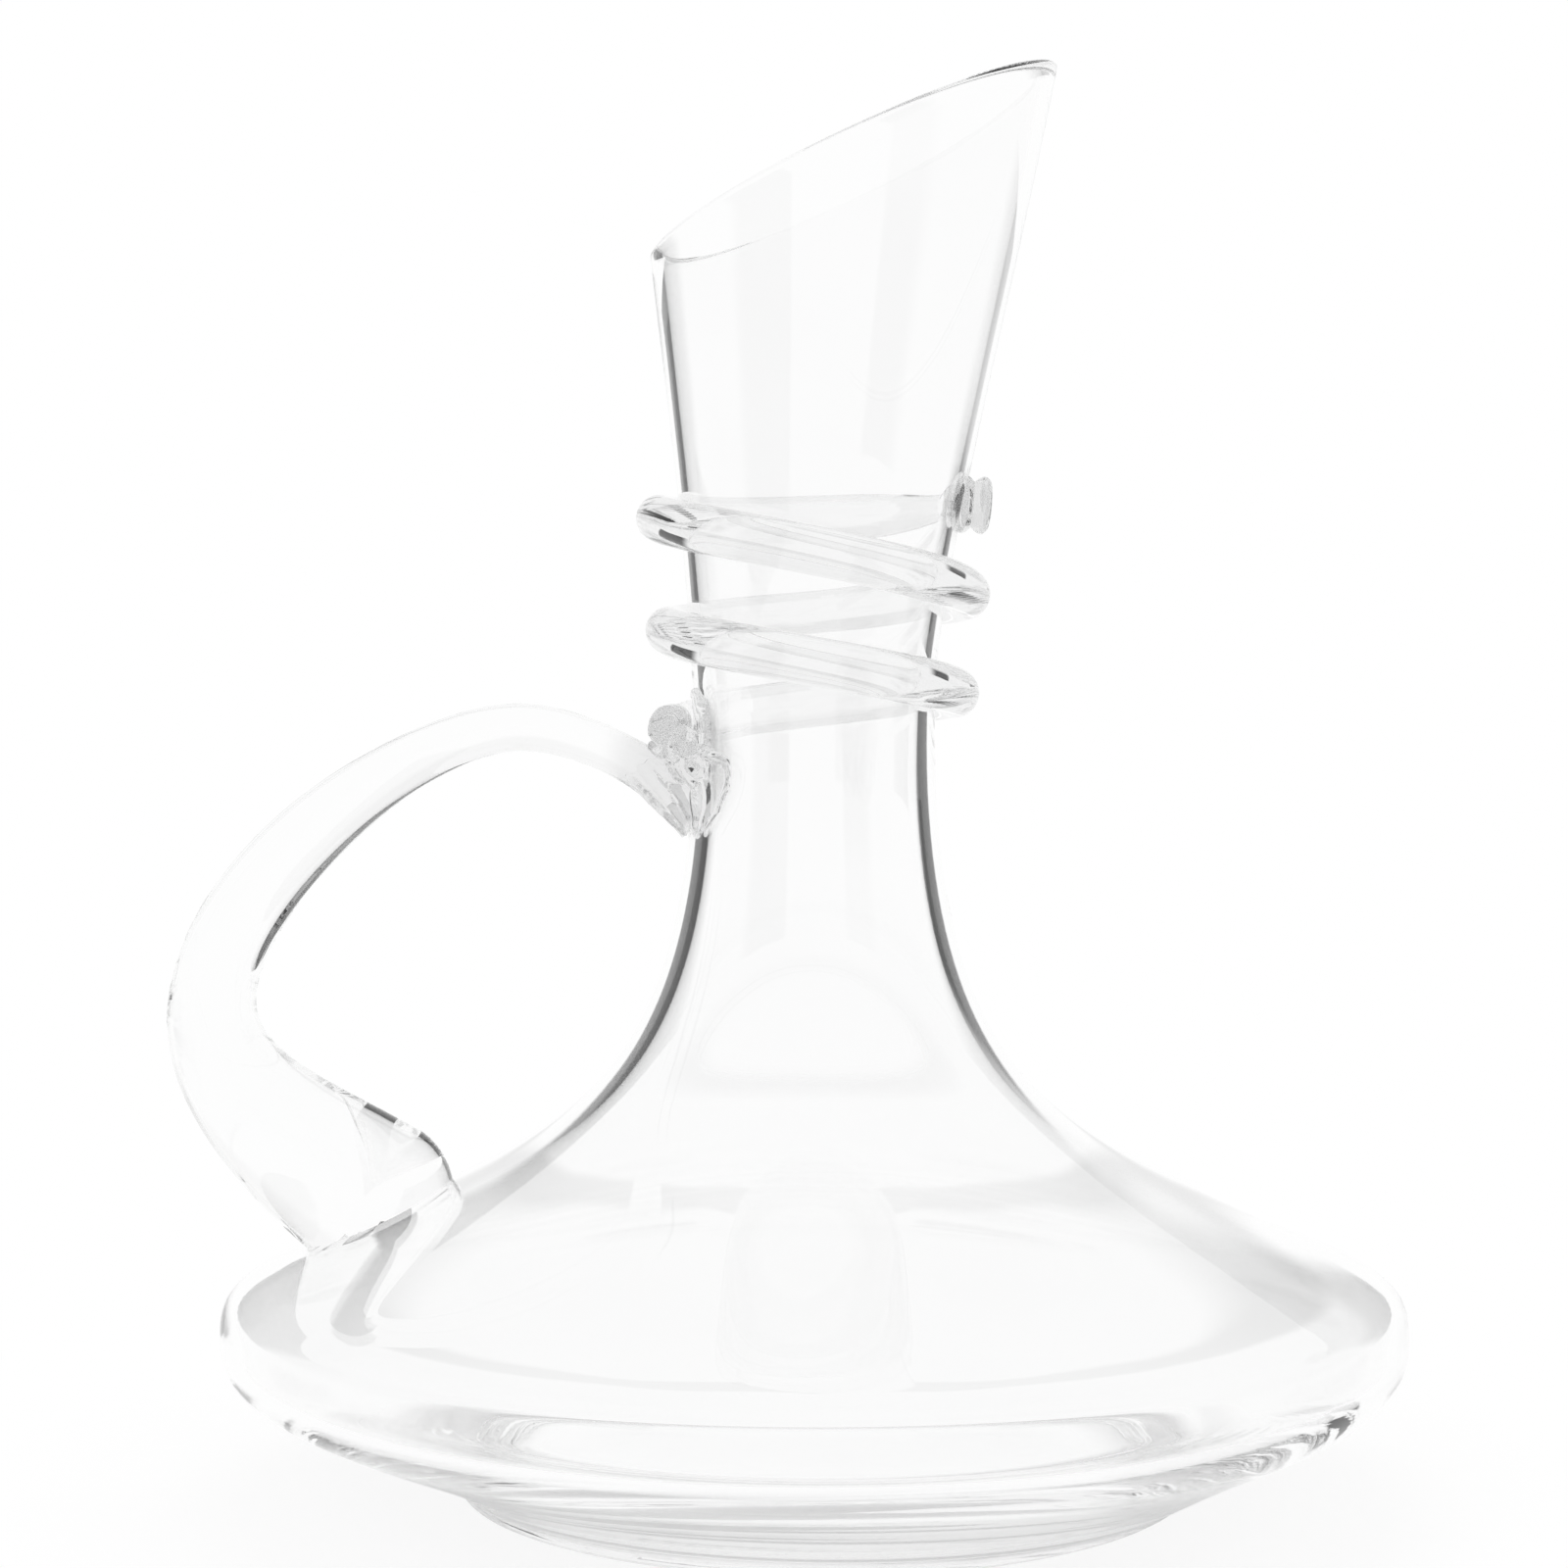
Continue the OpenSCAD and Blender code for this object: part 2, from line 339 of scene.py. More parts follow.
def footRings():
    # the hollow under the foot and the ring that it stands on
    b = blown
    angles = anglesRound(b["sides"])

    def level(r, z):
        return [Vector((axisShift(z) + r * math.cos(a), r * math.sin(a), z)) for a in angles]

    ringOut, ringIn = b["footRadius"], b["footRadius"] - b["ringWidth"]
    rings = [[Vector((axisShift(0), 0, b["puntHeight"] + b["puntDome"]))]]
    steps = b["floorSteps"]
    for k in range(1, steps + 1):
        height = b["puntHeight"] + b["puntDome"] * (1 - soften(k / steps))
        rings.append(level((ringIn - b["puntEdge"]) * k / steps, height))
    rings += [level(ringIn + out, z) for out, z in b["ringInner"]]
    rings += [level(ringOut + out, z) for out, z in b["ringOuter"]]
    return rings


def makeBlown():
    b = blown
    neckPlace = sum(b["steps"][:3])
    outerRings, outerEdge = wallRings(outside, neckPlace)
    innerRings, innerEdge = wallRings(inside, neckPlace + len(inside) - len(outside))
    rim = []
    for share in (0.33, 0.66, 1.0):
        rim.append([roundOff(o, e, i, share) for o, e, i in zip(outerRings[-1], outerEdge, innerEdge)])
    for share in (1.0, 0.66, 0.33):
        rim.append([roundOff(i, e, o, share) for i, e, o in zip(innerRings[-1], innerEdge, outerEdge)])
    rings = footRings() + outerRings + rim + innerRings[::-1]
    rings[-1] = [Vector((axisShift(b["floorHeight"]), 0, b["floorHeight"] + b["floorDome"]))]
    return skinRings("blown", rings)


# rods of soft glass: the handle, the trail and the folds at the join

domeAngles = [math.radians(a) for a in (80, 66, 52, 38, 24, 11)]  # rings of a rod's round end
upright = Vector((0, 0, 1))


def frameAlong(path, up):
    # the way onward and a steady sideways direction for each point of a path
    ways, ups = [], []
    for i in range(len(path)):
        way = (path[min(i + 1, len(path) - 1)] - path[max(i - 1, 0)]).normalized()
        last = ups[-1] if ups else up
        ways.append(way)
        ups.append((last - way * last.dot(way)).normalized())
    return ways, ups


def makeRod(name, path, radii, sides, up, flat=1.0, domed=True, dent=None):
    # radii are one for each point of the path; flat is the width across, as a share of the height;
    # dent gives the share of the radius that is left at a point and an angle
    ways, ups = frameAlong(path, up)
    angles = anglesRound(sides)

    def ring(centre, i, r):
        across = ways[i].cross(ups[i])
        return [centre + ups[i] * (r * math.cos(a)) + across * (r * flat * math.sin(a)) for a in angles]

    def dome(i, outward):
        # from the tip of a round end back to the rod
        reach = ways[i] * outward * radii[i]
        rows = [ring(path[i] + reach * math.sin(a), i, radii[i] * math.cos(a)) for a in domeAngles]
        return [[path[i] + reach]] + rows

    rings = dome(0, -1) if domed else []
    for i, p in enumerate(path):
        around = ring(p, i, radii[i])
        if dent:
            around = [p + (q - p) * dent(i, a) for a, q in zip(angles, around)]
        rings.append(around)
    if domed:
        rings += dome(-1, 1)[::-1]
    return skinRings(name, rings)


def seatOnNeck(thing, depth=1.0):
    # keeps the glass that is pressed into the neck inside the wall, clear of the hollow
    for v in thing.data.vertices:
        shift = axisShift(v.co.z)
        reach = math.hypot(v.co.x - shift, v.co.y)
        least = radiusAt(outside, v.co.z) - depth
        if reach < least and v.co.z > blown["neckFrom"]:
            v.co.x = shift + (v.co.x - shift) * least / reach
            v.co.y *= least / reach


def seatOnShoulder(thing, depth=1.4):
    # and the glass that is pressed into the shoulder inside its wall
    for v in thing.data.vertices:
        reach = math.hypot(v.co.x, v.co.y)
        least = heightAt(reach) - depth
        if v.co.z < least and v.co.z < blown["shoulderTo"]:
            v.co.z = least


handleRod = {
    "root": Vector((-19.5, 0, 118.5)),
    "top": Vector((-52, 0, 134.2)),
    "out": Vector((-107.1, 0, 84)),
    "land": Vector((-78.2, 0, 50.2)),
    # how far the rod is pulled before and after each of these places
    "rootPull": Vector((-9, 0, 9)),
    "topPulls": (10, 20),
    "outPulls": (22, 14),
    "landPull": 17,
    "fall": Vector((0.82, 0, -0.57)),  # the way that it runs where it lands
    "thickness": [(0, 11), (0.09, 8.2), (0.2, 8.4), (0.34, 9.6), (0.5, 13.0), (0.62, 14.4), (0.7, 15.4),
                  (0.78, 18.4), (0.86, 22.8), (0.94, 26.8), (1, 29)],  # (share of the length, diameter)
    "nose": 0.95,  # length of the round end, as a share of the radius there
    "noseAngles": [math.radians(a) for a in range(8, 89, 8)],
    "flat": 0.94,
    "sides": 72,
    "steps": (40, 62, 50),
    "crease": (0.34, 0.8),  # a thin fold on the inner side begins and ends at these shares of the length
    "creaseAt": math.radians(216),
    "creaseWidth": math.radians(7),
    "creaseDepth": 0.075,  # share of the rod's radius
}


def makeHandle():
    h = handleRod
    root, top, out, land = h["root"], h["top"], h["out"], h["land"]
    east = Vector((1, 0, 0))
    spans = [
        [root, root + h["rootPull"], top + east * h["topPulls"][0], top],
        [top, top - east * h["topPulls"][1], out + upright * h["outPulls"][0], out],
        [out, out - upright * h["outPulls"][1], land - h["fall"] * h["landPull"], land],
    ]
    path = []
    for handles, steps in zip(spans, h["steps"]):
        path += [curvePoint(handles, k / steps) for k in range(steps)]
    path.append(land)
    lengths = [0.0]
    for p, q in zip(path, path[1:]):
        lengths.append(lengths[-1] + (q - p).length)
    radii = [between(h["thickness"], s / lengths[-1]) / 2 for s in lengths]
    first, final = h["crease"]
    folds = []
    for s in lengths:
        t = (s / lengths[-1] - first) / (final - first)
        folds.append(h["creaseDepth"] * math.sin(math.pi * t) if 0 < t < 1 else 0.0)
    last = radii[-1]
    for turn in h["noseAngles"]:
        path.append(land + h["fall"] * last * math.sin(turn) * h["nose"])
        radii.append(last * math.cos(turn))
        folds.append(0.0)

    def crease(i, angle):
        off = (angle - h["creaseAt"]) / h["creaseWidth"]
        return 1 - folds[i] * math.exp(-off * off)

    rod = makeRod("handle", path, radii, h["sides"], upright, flat=h["flat"], domed=False, dent=crease)
    seatOnNeck(rod)
    seatOnShoulder(rod)
    return rod


trailRod = {
    "levels": [134.0, 140.2, 151.5, 157.6, 171.2, 173.3],  # height at the left and right sides in turn
    "diameter": 8.5,
    "sink": 0.7,
    "tuck": 0.02,  # share of a half-turn that runs on into the join
    "short": 0.14,  # share of a half-turn that it stops short behind the button
    "wobble": 0.16,  # the most that the radius wavers
    "waves": 22,  # and how often it does so
    "startThin": (0.3, 26),  # it thins by the first as a share, over its length divided by the second
    "endThin": (0.42, 18),
    "sides": 36,
    "steps": 400,
}


def trailPoint(halfTurns):
    # half-turn 0 is at the left over the handle, and odd ones are at the right
    levels = trailRod["levels"]
    k = min(max(int(math.floor(halfTurns)), 0), len(levels) - 2)
    t = halfTurns - k
    ease = 0.5 * t + 0.5 * soften(t)  # each half-turn starts and ends at half its steepness
    z = levels[k] + (levels[k + 1] - levels[k]) * ease
    angle = math.pi * (1 - halfTurns)
    r = radiusAt(outside, z) + trailRod["diameter"] / 2 - trailRod["sink"]
    return Vector((axisShift(z) + r * math.cos(angle), r * math.sin(angle), z))


def trailSpan():
    return -trailRod["tuck"], len(trailRod["levels"]) - 1 - trailRod["short"]


def makeTrail():
    t = trailRod
    steps = t["steps"]
    start, end = trailSpan()
    path = [trailPoint(start + (end - start) * k / steps) for k in range(steps + 1)]
    startThin, startPart = t["startThin"]
    endThin, endPart = t["endThin"]
    radii = []
    for k in range(steps + 1):
        wobble = noise.noise(Vector((k / steps * t["waves"], 3.1, 0.7))) * t["wobble"]
        pinch = ((1 - endThin * soften((k - steps) / steps * endPart + 1))
                 * (1 - startThin + startThin * soften(k / steps * startPart)))
        radii.append((t["diameter"] / 2 + wobble) * pinch)
    return makeRod("trail", path, radii, t["sides"], upright)


trailButton = {
    "profile": [(-1.7, 4.0), (-0.9, 4.9), (0.2, 5.2), (1.1, 4.6), (1.6, 4.1), (2.2, 4.6), (3.2, 5.1),
                (4.1, 4.8), (4.7, 3.8), (5.05, 1.6)],  # (distance out from the wall, radius)
    "flat": 0.84,
    "rise": 0.4,  # over the trail's last level
    "aside": -0.8,
    "tilt": math.radians(5),
    "stem": 2.9,  # radius of the glass between the trail's end and the button
    "stemPath": [(0.2, 3.6, 0.3), (1.0, 0.4, 0)],  # out from the wall, aside, and over the button
    "stemSteps": 8,
    "sides": 40,
    "stemSides": 24,
    "steps": 3,  # rings from one knot of the profile to the next
}


def makeButton():
    # the end of the trail, pressed flat on the neck and turned out to a button
    b = trailButton
    z = trailRod["levels"][-1] + b["rise"]
    wall = axisShift(z) + radiusAt(outside, z)
    bridge = [trailPoint(trailSpan()[1])]
    bridge += [Vector((wall + out, aside, z + over)) for out, aside, over in b["stemPath"]]
    bridge = threadThrough(bridge, b["stemSteps"])
    stem = makeRod("stem", bridge, [b["stem"]] * len(bridge), b["stemSides"], upright)
    knots = [x for x, r in b["profile"]]
    places = [knots[0]]
    for x0, x1 in zip(knots, knots[1:]):
        places += [x0 + (x1 - x0) * k / b["steps"] for k in range(1, b["steps"] + 1)]
    rings = [[Vector((knots[0], 0, 0))]]
    angles = anglesRound(b["sides"])
    for x in places[:-1]:
        r = between(b["profile"], x)
        rings.append([Vector((x, b["flat"] * r * math.sin(a), r * math.cos(a))) for a in angles])
    rings.append([Vector((knots[-1], 0, 0))])
    button = skinRings("button", rings)
    button.data.transform(Matrix.Translation((wall, b["aside"], z)) @ Matrix.Rotation(b["tilt"], 4, "Y"))
    seatOnNeck(button)
    return [stem, button]


foldedJoin = {
    # each fold is a path of (x, y, z, radius)
    "folds": [
        # two blunt ends side by side, and the broad band under them
        [(-25.0, -5.4, 134.8, 3.9), (-25.6, 0.0, 134.2, 3.9), (-24.6, 6.5, 134.0, 3.4)],
        [(-22.6, -7.4, 131.4, 3.3), (-24.2, -2.0, 131.0, 3.3), (-24.4, 4.0, 131.2, 2.6)],
        [(-21.5, -8.0, 127.0, 2.9), (-23.6, -3.0, 127.0, 3.0), (-24.2, 2.5, 127.6, 2.4)],
        # the curl, its inner turn and the lobe beside the trail
        [(-28.6, -5.6, 133.2, 0.8), (-27.8, -7.6, 136.2, 0.9), (-25.4, -9.2, 137.6, 0.9),
         (-23.0, -10.0, 136.2, 0.9), (-23.4, -10.4, 133.4, 1.0), (-24.8, -10.0, 130.6, 1.0),
         (-23.6, -10.2, 127.4, 1.0), (-21.6, -10.4, 124.8, 0.8)],
        [(-28.2, -4.2, 131.0, 1.2), (-26.6, -6.4, 129.8, 1.2), (-25.6, -7.8, 131.4, 1.0),
         (-26.2, -8.2, 133.4, 0.7)],
        [(-20.4, -7.4, 140.0, 1.5), (-19.4, -9.2, 137.6, 2.0), (-18.9, -10.2, 134.2, 1.8),
         (-19.2, -9.8, 131.0, 1.3)],
        # the pad under the curl, and the smear on the neck beside it
        [(-20.2, -8.0, 125.0, 1.7), (-19.8, -9.4, 121.6, 2.3), (-20.2, -8.6, 117.6, 1.6)],
        [(-18.0, -12.0, 129.6, 1.5), (-15.2, -14.6, 128.2, 1.4), (-14.6, -15.2, 125.4, 1.2),
         (-16.0, -14.0, 121.0, 1.1), (-18.4, -11.4, 116.4, 0.9)],
        # the heart of the press mark, and the creases over it
        [(-27.5, 0.0, 126.0, 3.4), (-25.0, -0.6, 122.0, 3.6), (-22.8, -1.4, 118.4, 2.4)],
        [(-32.0, -2.6, 125.6, 1.5), (-28.6, -4.2, 122.0, 1.4), (-25.2, -4.8, 118.4, 1.1),
         (-22.8, -4.8, 115.8, 0.8)],
        [(-30.4, -3.4, 127.0, 1.2), (-27.4, -5.2, 123.8, 1.2), (-24.4, -5.8, 120.0, 1.0),
         (-22.4, -5.8, 116.8, 0.8)],
        [(-28.6, -3.6, 127.8, 1.2), (-25.6, -5.8, 125.4, 1.2), (-23.2, -6.6, 122.0, 1.0),
         (-21.6, -6.8, 118.4, 0.8)],
    ],
    "up": Vector((0.2, 1, 0.1)),
    "flat": 0.9,
    "sides": 20,
    "steps": 8,
    "grain": 0.3,  # size of the net laid over the folds before they are softened
    "softening": 9,
    "crumple": 0.22,
    "crumpleGrain": (0.5, 0.5, 0.32),
    "depth": 0.9,  # how far it is pressed into the neck's wall
}


def settle(thing):
    # the mesh as its modifiers leave it
    depsgraph = bpy.context.evaluated_depsgraph_get()
    settled = bpy.data.meshes.new_from_object(thing.evaluated_get(depsgraph))
    thing.modifiers.clear()
    thing.data = settled


def makeFold(name, fold):
    j = foldedJoin
    path = threadThrough([Vector(knot[:3]) for knot in fold], j["steps"])
    radii = []
    for i in range(len(path)):
        k = min(i // j["steps"], len(fold) - 2)
        radii.append(fold[k][3] + (fold[k + 1][3] - fold[k][3]) * soften(i / j["steps"] - k))
    return makeRod(name, path, radii, j["sides"], j["up"], flat=j["flat"])


def makeJoin():
    # the folds are laid together, netted over as one skin and softened like warm glass
    j = foldedJoin
    bm = bmesh.new()
    for n, knots in enumerate(j["folds"]):
        fold = makeFold(f"fold{n}", knots)
        bm.from_mesh(fold.data)
        bpy.data.objects.remove(fold)
    mesh = bpy.data.meshes.new("join")
    bm.to_mesh(mesh)
    bm.free()
    join = addThing("join", mesh)
    net = join.modifiers.new("net", "REMESH")
    net.mode = "VOXEL"
    net.voxel_size = j["grain"]
    calm = join.modifiers.new("calm", "SMOOTH")
    calm.factor = 0.5
    calm.iterations = j["softening"]
    settle(join)
    normals = [v.normal.copy() for v in join.data.vertices]
    for v, out in zip(join.data.vertices, normals):
        place = Vector([c * grain for c, grain in zip(v.co, j["crumpleGrain"])])
        v.co += out * noise.noise(place) * j["crumple"]
    seatOnNeck(join, j["depth"])
    return join


def meltTogether(first, others):
    # one piece of glass: each rod is joined on and its hidden faces go
    for other in others:
        melt = first.modifiers.new("melt", "BOOLEAN")
        melt.operation = "UNION"
        melt.solver = "MANIFOLD"
        melt.object = other
        settle(first)
        bpy.data.objects.remove(other)
    return first


# finishes

glassFinish = {
    # (lighter, deeper) colour of the blown body and of the trail, and a painted grey shade for the folds
    # and button, standing for the grey that their folded glass gets from the light it bends
    "tints": {
        "clearGlass": ((0.994, 0.994, 0.994, 1), (0.978, 0.979, 0.979, 1)),
        "trailGlass": ((0.93, 0.93, 0.93, 1), (0.84, 0.842, 0.842, 1)),
    },
    "foldPaintedShade": (0.78, 0.781, 0.781, 1),
    # (centre, full within this distance, none beyond this one), in metres: where the painted shade greys
    # the join and the button
    "folded": [((-0.0235, -0.006, 0.1275), 0.0095, 0.0155), ((0.0268, -0.001, 0.1737), 0.0055, 0.0085)],
    "ior": 1.5,
    "waveScale": 38.0,
    "waveDetail": 2.0,
    "waveStrength": 0.02,
    "waveHeight": 0.001,
    "polish": {"From Min": 0.35, "From Max": 0.8, "To Min": 0.0, "To Max": 0.018},  # waves to roughness
    "trailSpan": (112.0, 182.0),  # heights between which rods lie on the neck
    "trailOut": 0.12,  # how far out from the wall the trail's own finish begins
    "joinTop": 141.0,
    "joinSide": -15.0,
    "crispFrom": math.radians(38),  # edges that turn more than this stay crisp
}


def finishAt(place):
    # 1 for a face of the trail and 0 for the rest
    g = glassFinish
    low, high = g["trailSpan"]
    out = math.hypot(place.x - axisShift(place.z), place.y) - radiusAt(outside, place.z)
    onJoin = place.x < g["joinSide"] and place.z < g["joinTop"]
    return 1 if low < place.z < high and out > g["trailOut"] and not onJoin else 0


carafe = makeBlown()
print("carafe: blown body", len(carafe.data.polygons), "faces")
rods = [makeHandle(), makeTrail(), *makeButton(), makeJoin()]
print("carafe: handle, trail and join made")
carafe = meltTogether(carafe, rods)
carafe.name = "carafe_glass"
carafe.data.name = "carafe_glass"
finishes = [finishAt(face.center) for face in carafe.data.polygons]
carafe.data.transform(Matrix.Scale(millimetre, 4))
for face in carafe.data.polygons:
    face.use_smooth = True
carafe.data.set_sharp_from_angle(angle=glassFinish["crispFrom"])
print("carafe: melted together", len(carafe.data.polygons), "faces")


# short ways to lay nodes; tree is the node tree of a material or of the world

def addNode(tree, kind, **fields):
    node = tree.nodes.new("ShaderNode" + kind)
    for field, value in fields.items():
        setattr(node, field, value)
    return node


def feed(tree, socket, value):
    # a number, colour or place is set on the socket, and another node's output is wired to it
    if isinstance(value, bpy.types.NodeSocket):
        tree.links.new(value, socket)
    else:
        socket.default_value = value


def mathStep(tree, operation, *values):
    node = addNode(tree, "Math", operation=operation)
    for socket, value in zip(node.inputs, values):
        feed(tree, socket, value)
    return node.outputs["Value"]


def opposite(tree, value):
    return mathStep(tree, "SUBTRACT", 1.0, value)


def softStep(tree, value, low, high):
    # 0 below low, 1 above high, soft between
    node = addNode(tree, "MapRange", interpolation_type="SMOOTHSTEP")
    for socket, given in (("From Min", low), ("From Max", high), ("Value", value)):
        feed(tree, node.inputs[socket], given)
    return node.outputs["Result"]


def mixStep(tree, kind, share, first, second):
    # numbers or colours: the first where share is 0, the second where it is 1
    node = addNode(tree, "Mix", data_type=kind)
    for socket, value in (("Factor", share), ("A", first), ("B", second)):
        feed(tree, node.inputs[socket], value)
    return node.outputs["Result"]


def finishMix(tree, share, first, second):
    # shows the first finish where share is 0, the second where it is 1
    node = addNode(tree, "MixShader")
    for socket, value in zip(node.inputs, (share, first, second)):
        feed(tree, socket, value)
    feed(tree, tree.nodes["Material Output"].inputs["Surface"], node.outputs["Shader"])


def newFinish(name):
    mat = bpy.data.materials.new(name)
    mat.use_nodes = True
    return mat, mat.node_tree


def clearGlass(name):
    g = glassFinish
    mat, tree = newFinish(name)
    shader = tree.nodes["Principled BSDF"]
    shader.inputs["IOR"].default_value = g["ior"]
    shader.inputs["Transmission Weight"].default_value = 1.0
    place = addNode(tree, "TexCoord").outputs["Object"]
    waves = addNode(tree, "TexNoise")
    waves.inputs["Scale"].default_value = g["waveScale"]
    waves.inputs["Detail"].default_value = g["waveDetail"]
    feed(tree, waves.inputs["Vector"], place)
    tint = mixStep(tree, "RGBA", waves.outputs["Fac"], *g["tints"][name])
    near = []
    for centre, full, none in g["folded"]:
        apart = addNode(tree, "VectorMath", operation="DISTANCE")
        feed(tree, apart.inputs[0], place)
        feed(tree, apart.inputs[1], centre)
        near.append(opposite(tree, softStep(tree, apart.outputs["Value"], full, none)))
    # painted shade: the glass is tinted grey around the join and the button
    folded = mixStep(tree, "RGBA", mathStep(tree, "MAXIMUM", *near), tint, g["foldPaintedShade"])
    feed(tree, shader.inputs["Base Color"], folded)
    polish = addNode(tree, "MapRange")
    for socket, value in g["polish"].items():
        polish.inputs[socket].default_value = value
    feed(tree, polish.inputs["Value"], waves.outputs["Fac"])
    feed(tree, shader.inputs["Roughness"], polish.outputs["Result"])
    bump = addNode(tree, "Bump")
    bump.inputs["Strength"].default_value = g["waveStrength"]
    bump.inputs["Distance"].default_value = g["waveHeight"]
    feed(tree, bump.inputs["Height"], waves.outputs["Fac"])
    feed(tree, shader.inputs["Normal"], bump.outputs["Normal"])
    return mat


carafe.data.materials.clear()
for name in glassFinish["tints"]:
    carafe.data.materials.append(clearGlass(name))
for face, finish in zip(carafe.data.polygons, finishes):
    face.material_index = finish
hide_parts(glassName)
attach(carafe, "root")
print("carafe: glass finish on")


# the studio: a white table in a white tent, dark sheets that paint shade into the glass and a grey band
# that paints a dark reflection on it, and large soft lamps

tablePaper = {
    "half": 0.25,
    "below": 0.00015,  # clear of the foot
    "sides": 48,
    "white": (0.9, 0.9, 0.9, 1),
    "roughness": 0.9,
    # share of the white that no shadow reaches near the foot, and the radii between which it grows
    "glow": {"eye": (0.9, 0.08, 0.2), "glass": (0.45, 0.066, 0.084)},
    "underFootPaintedLight": (0.05, 0.062),  # painted light under the foot, for the light that comes through the glass floor, ends between these radii
}


def tableFinish():
    # a white sheet that glows to the eye, more so away from the foot, and still takes the shadow
    t = tablePaper
    mat, tree = newFinish("tablePaper")
    paper = tree.nodes["Principled BSDF"]
    paper.inputs["Base Color"].default_value = t["white"]
    paper.inputs["Roughness"].default_value = t["roughness"]
    glow = addNode(tree, "Emission")
    glow.inputs["Color"].default_value = (1, 1, 1, 1)
    glow.inputs["Strength"].default_value = 1.0
    reach = addNode(tree, "VectorMath", operation="LENGTH")
    feed(tree, reach.inputs[0], addNode(tree, "TexCoord").outputs["Object"])
    radius = reach.outputs["Value"]
    rays = addNode(tree, "LightPath").outputs
    through = mathStep(tree, "MAXIMUM", rays["Is Glossy Ray"], rays["Is Transmission Ray"])
    parts = []
    for seen, kind in ((rays["Is Camera Ray"], "eye"), (through, "glass")):
        near, start, end = t["glow"][kind]
        away = softStep(tree, radius, start, end)
        if kind == "glass":
            # painted light: inside the foot's ring the sheet glows full white to the glass
            away = mathStep(tree, "MAXIMUM", away, opposite(tree, softStep(tree, radius, *t["underFootPaintedLight"])))
        glowing = mathStep(tree, "ADD", mathStep(tree, "MULTIPLY", away, 1 - near), near)
        parts.append(mathStep(tree, "MULTIPLY", seen, glowing))
    finishMix(tree, mathStep(tree, "MAXIMUM", *parts), paper.outputs["BSDF"], glow.outputs["Emission"])
    return mat


def makeTable():
    t = tablePaper
    z = cadLow.z - t["below"]
    corners = [(t["half"] * math.cos(a), t["half"] * math.sin(a), z) for a in anglesRound(t["sides"])]
    mesh = bpy.data.meshes.new("table")
    mesh.from_pydata(corners, [], [tuple(range(t["sides"]))])
    mesh.materials.append(tableFinish())
    table = addThing("table", mesh)


def turnedAway(tree, place):
    # degrees from the line of sight, front or back, to a place seen from the carafe; then its x, y and z
    split = addNode(tree, "SeparateXYZ")
    feed(tree, split.inputs["Vector"], place)
    x, y, z = split.outputs
    turn = mathStep(tree, "ARCTAN2", mathStep(tree, "ABSOLUTE", x), mathStep(tree, "ABSOLUTE", y))
    return mathStep(tree, "DEGREES", turn), x, y, z


def pickSide(tree, x, left, right):
    onRight = mathStep(tree, "GREATER_THAN", x, 0.0)
    return mathStep(tree, "ADD", mathStep(tree, "MULTIPLY", left, opposite(tree, onRight)),
                    mathStep(tree, "MULTIPLY", right, onRight))


def turnedBack(tree, rays):
    # 1 for light that has been mirrored inside the glass
    return mathStep(tree, "GREATER_THAN", rays["Glossy Depth"], 0.5)


# painted shade: a dark ring of sheets that only light turned back inside the glass sees, for the dark lines
# in the glass
paintedShadeFlags = {
    "level": 0.03,
    "reach": 0.4,  # radius of their ring
    "span": (0.08, 0.24),  # from this height to this one
    "sides": 96,
    "from": {"left": (25.0, 28.0), "right": (28.0, 32.0)},  # degrees off the line of sight, soft between
    "to": {"left": (58.0, 70.0), "right": (50.0, 62.0)},
    "top": {"left": (0.24, 0.25), "right": (0.14, 0.18)},  # thinner above these heights
    "thin": 0.5,
}


def flagPaintedShade():
    # painted shade: dark for light that has been turned back inside the glass, and clear for all the rest
    f = paintedShadeFlags
    mat, tree = newFinish("flagPaintedShade")
    tree.nodes.remove(tree.nodes["Principled BSDF"])
    turn, x, y, z = turnedAway(tree, addNode(tree, "TexCoord").outputs["Object"])
    bands = []
    for side in ("left", "right"):
        width = mathStep(tree, "SUBTRACT", softStep(tree, turn, *f["from"][side]),
                         softStep(tree, turn, *f["to"][side]))
        thinned = mathStep(tree, "MULTIPLY", softStep(tree, z, *f["top"][side]), f["thin"])
        bands.append(mathStep(tree, "MULTIPLY", width, opposite(tree, thinned)))
    rays = addNode(tree, "LightPath").outputs
    share = mathStep(tree, "MULTIPLY", pickSide(tree, x, *bands), turnedBack(tree, rays))
    dark = addNode(tree, "Emission")
    dark.inputs["Strength"].default_value = f["level"]
    clear = addNode(tree, "BsdfTransparent")
    finishMix(tree, share, clear.outputs["BSDF"], dark.outputs["Emission"])
    return mat


def makeShadeFlags():
    f = paintedShadeFlags
    points, faces = [], []
    for j, a in enumerate(anglesRound(f["sides"])):
        points += [(f["reach"] * math.cos(a), f["reach"] * math.sin(a), z) for z in f["span"]]
        k = (j + 1) % f["sides"]
        faces.append((2 * j, 2 * k, 2 * k + 1, 2 * j + 1))
    mesh = bpy.data.meshes.new("flags")
    mesh.from_pydata(points, [], faces)
    mesh.materials.append(flagPaintedShade())
    flags = addThing("flags", mesh)
    flags.visible_camera = False
    flags.visible_diffuse = False
    flags.visible_glossy = False
    flags.visible_shadow = False


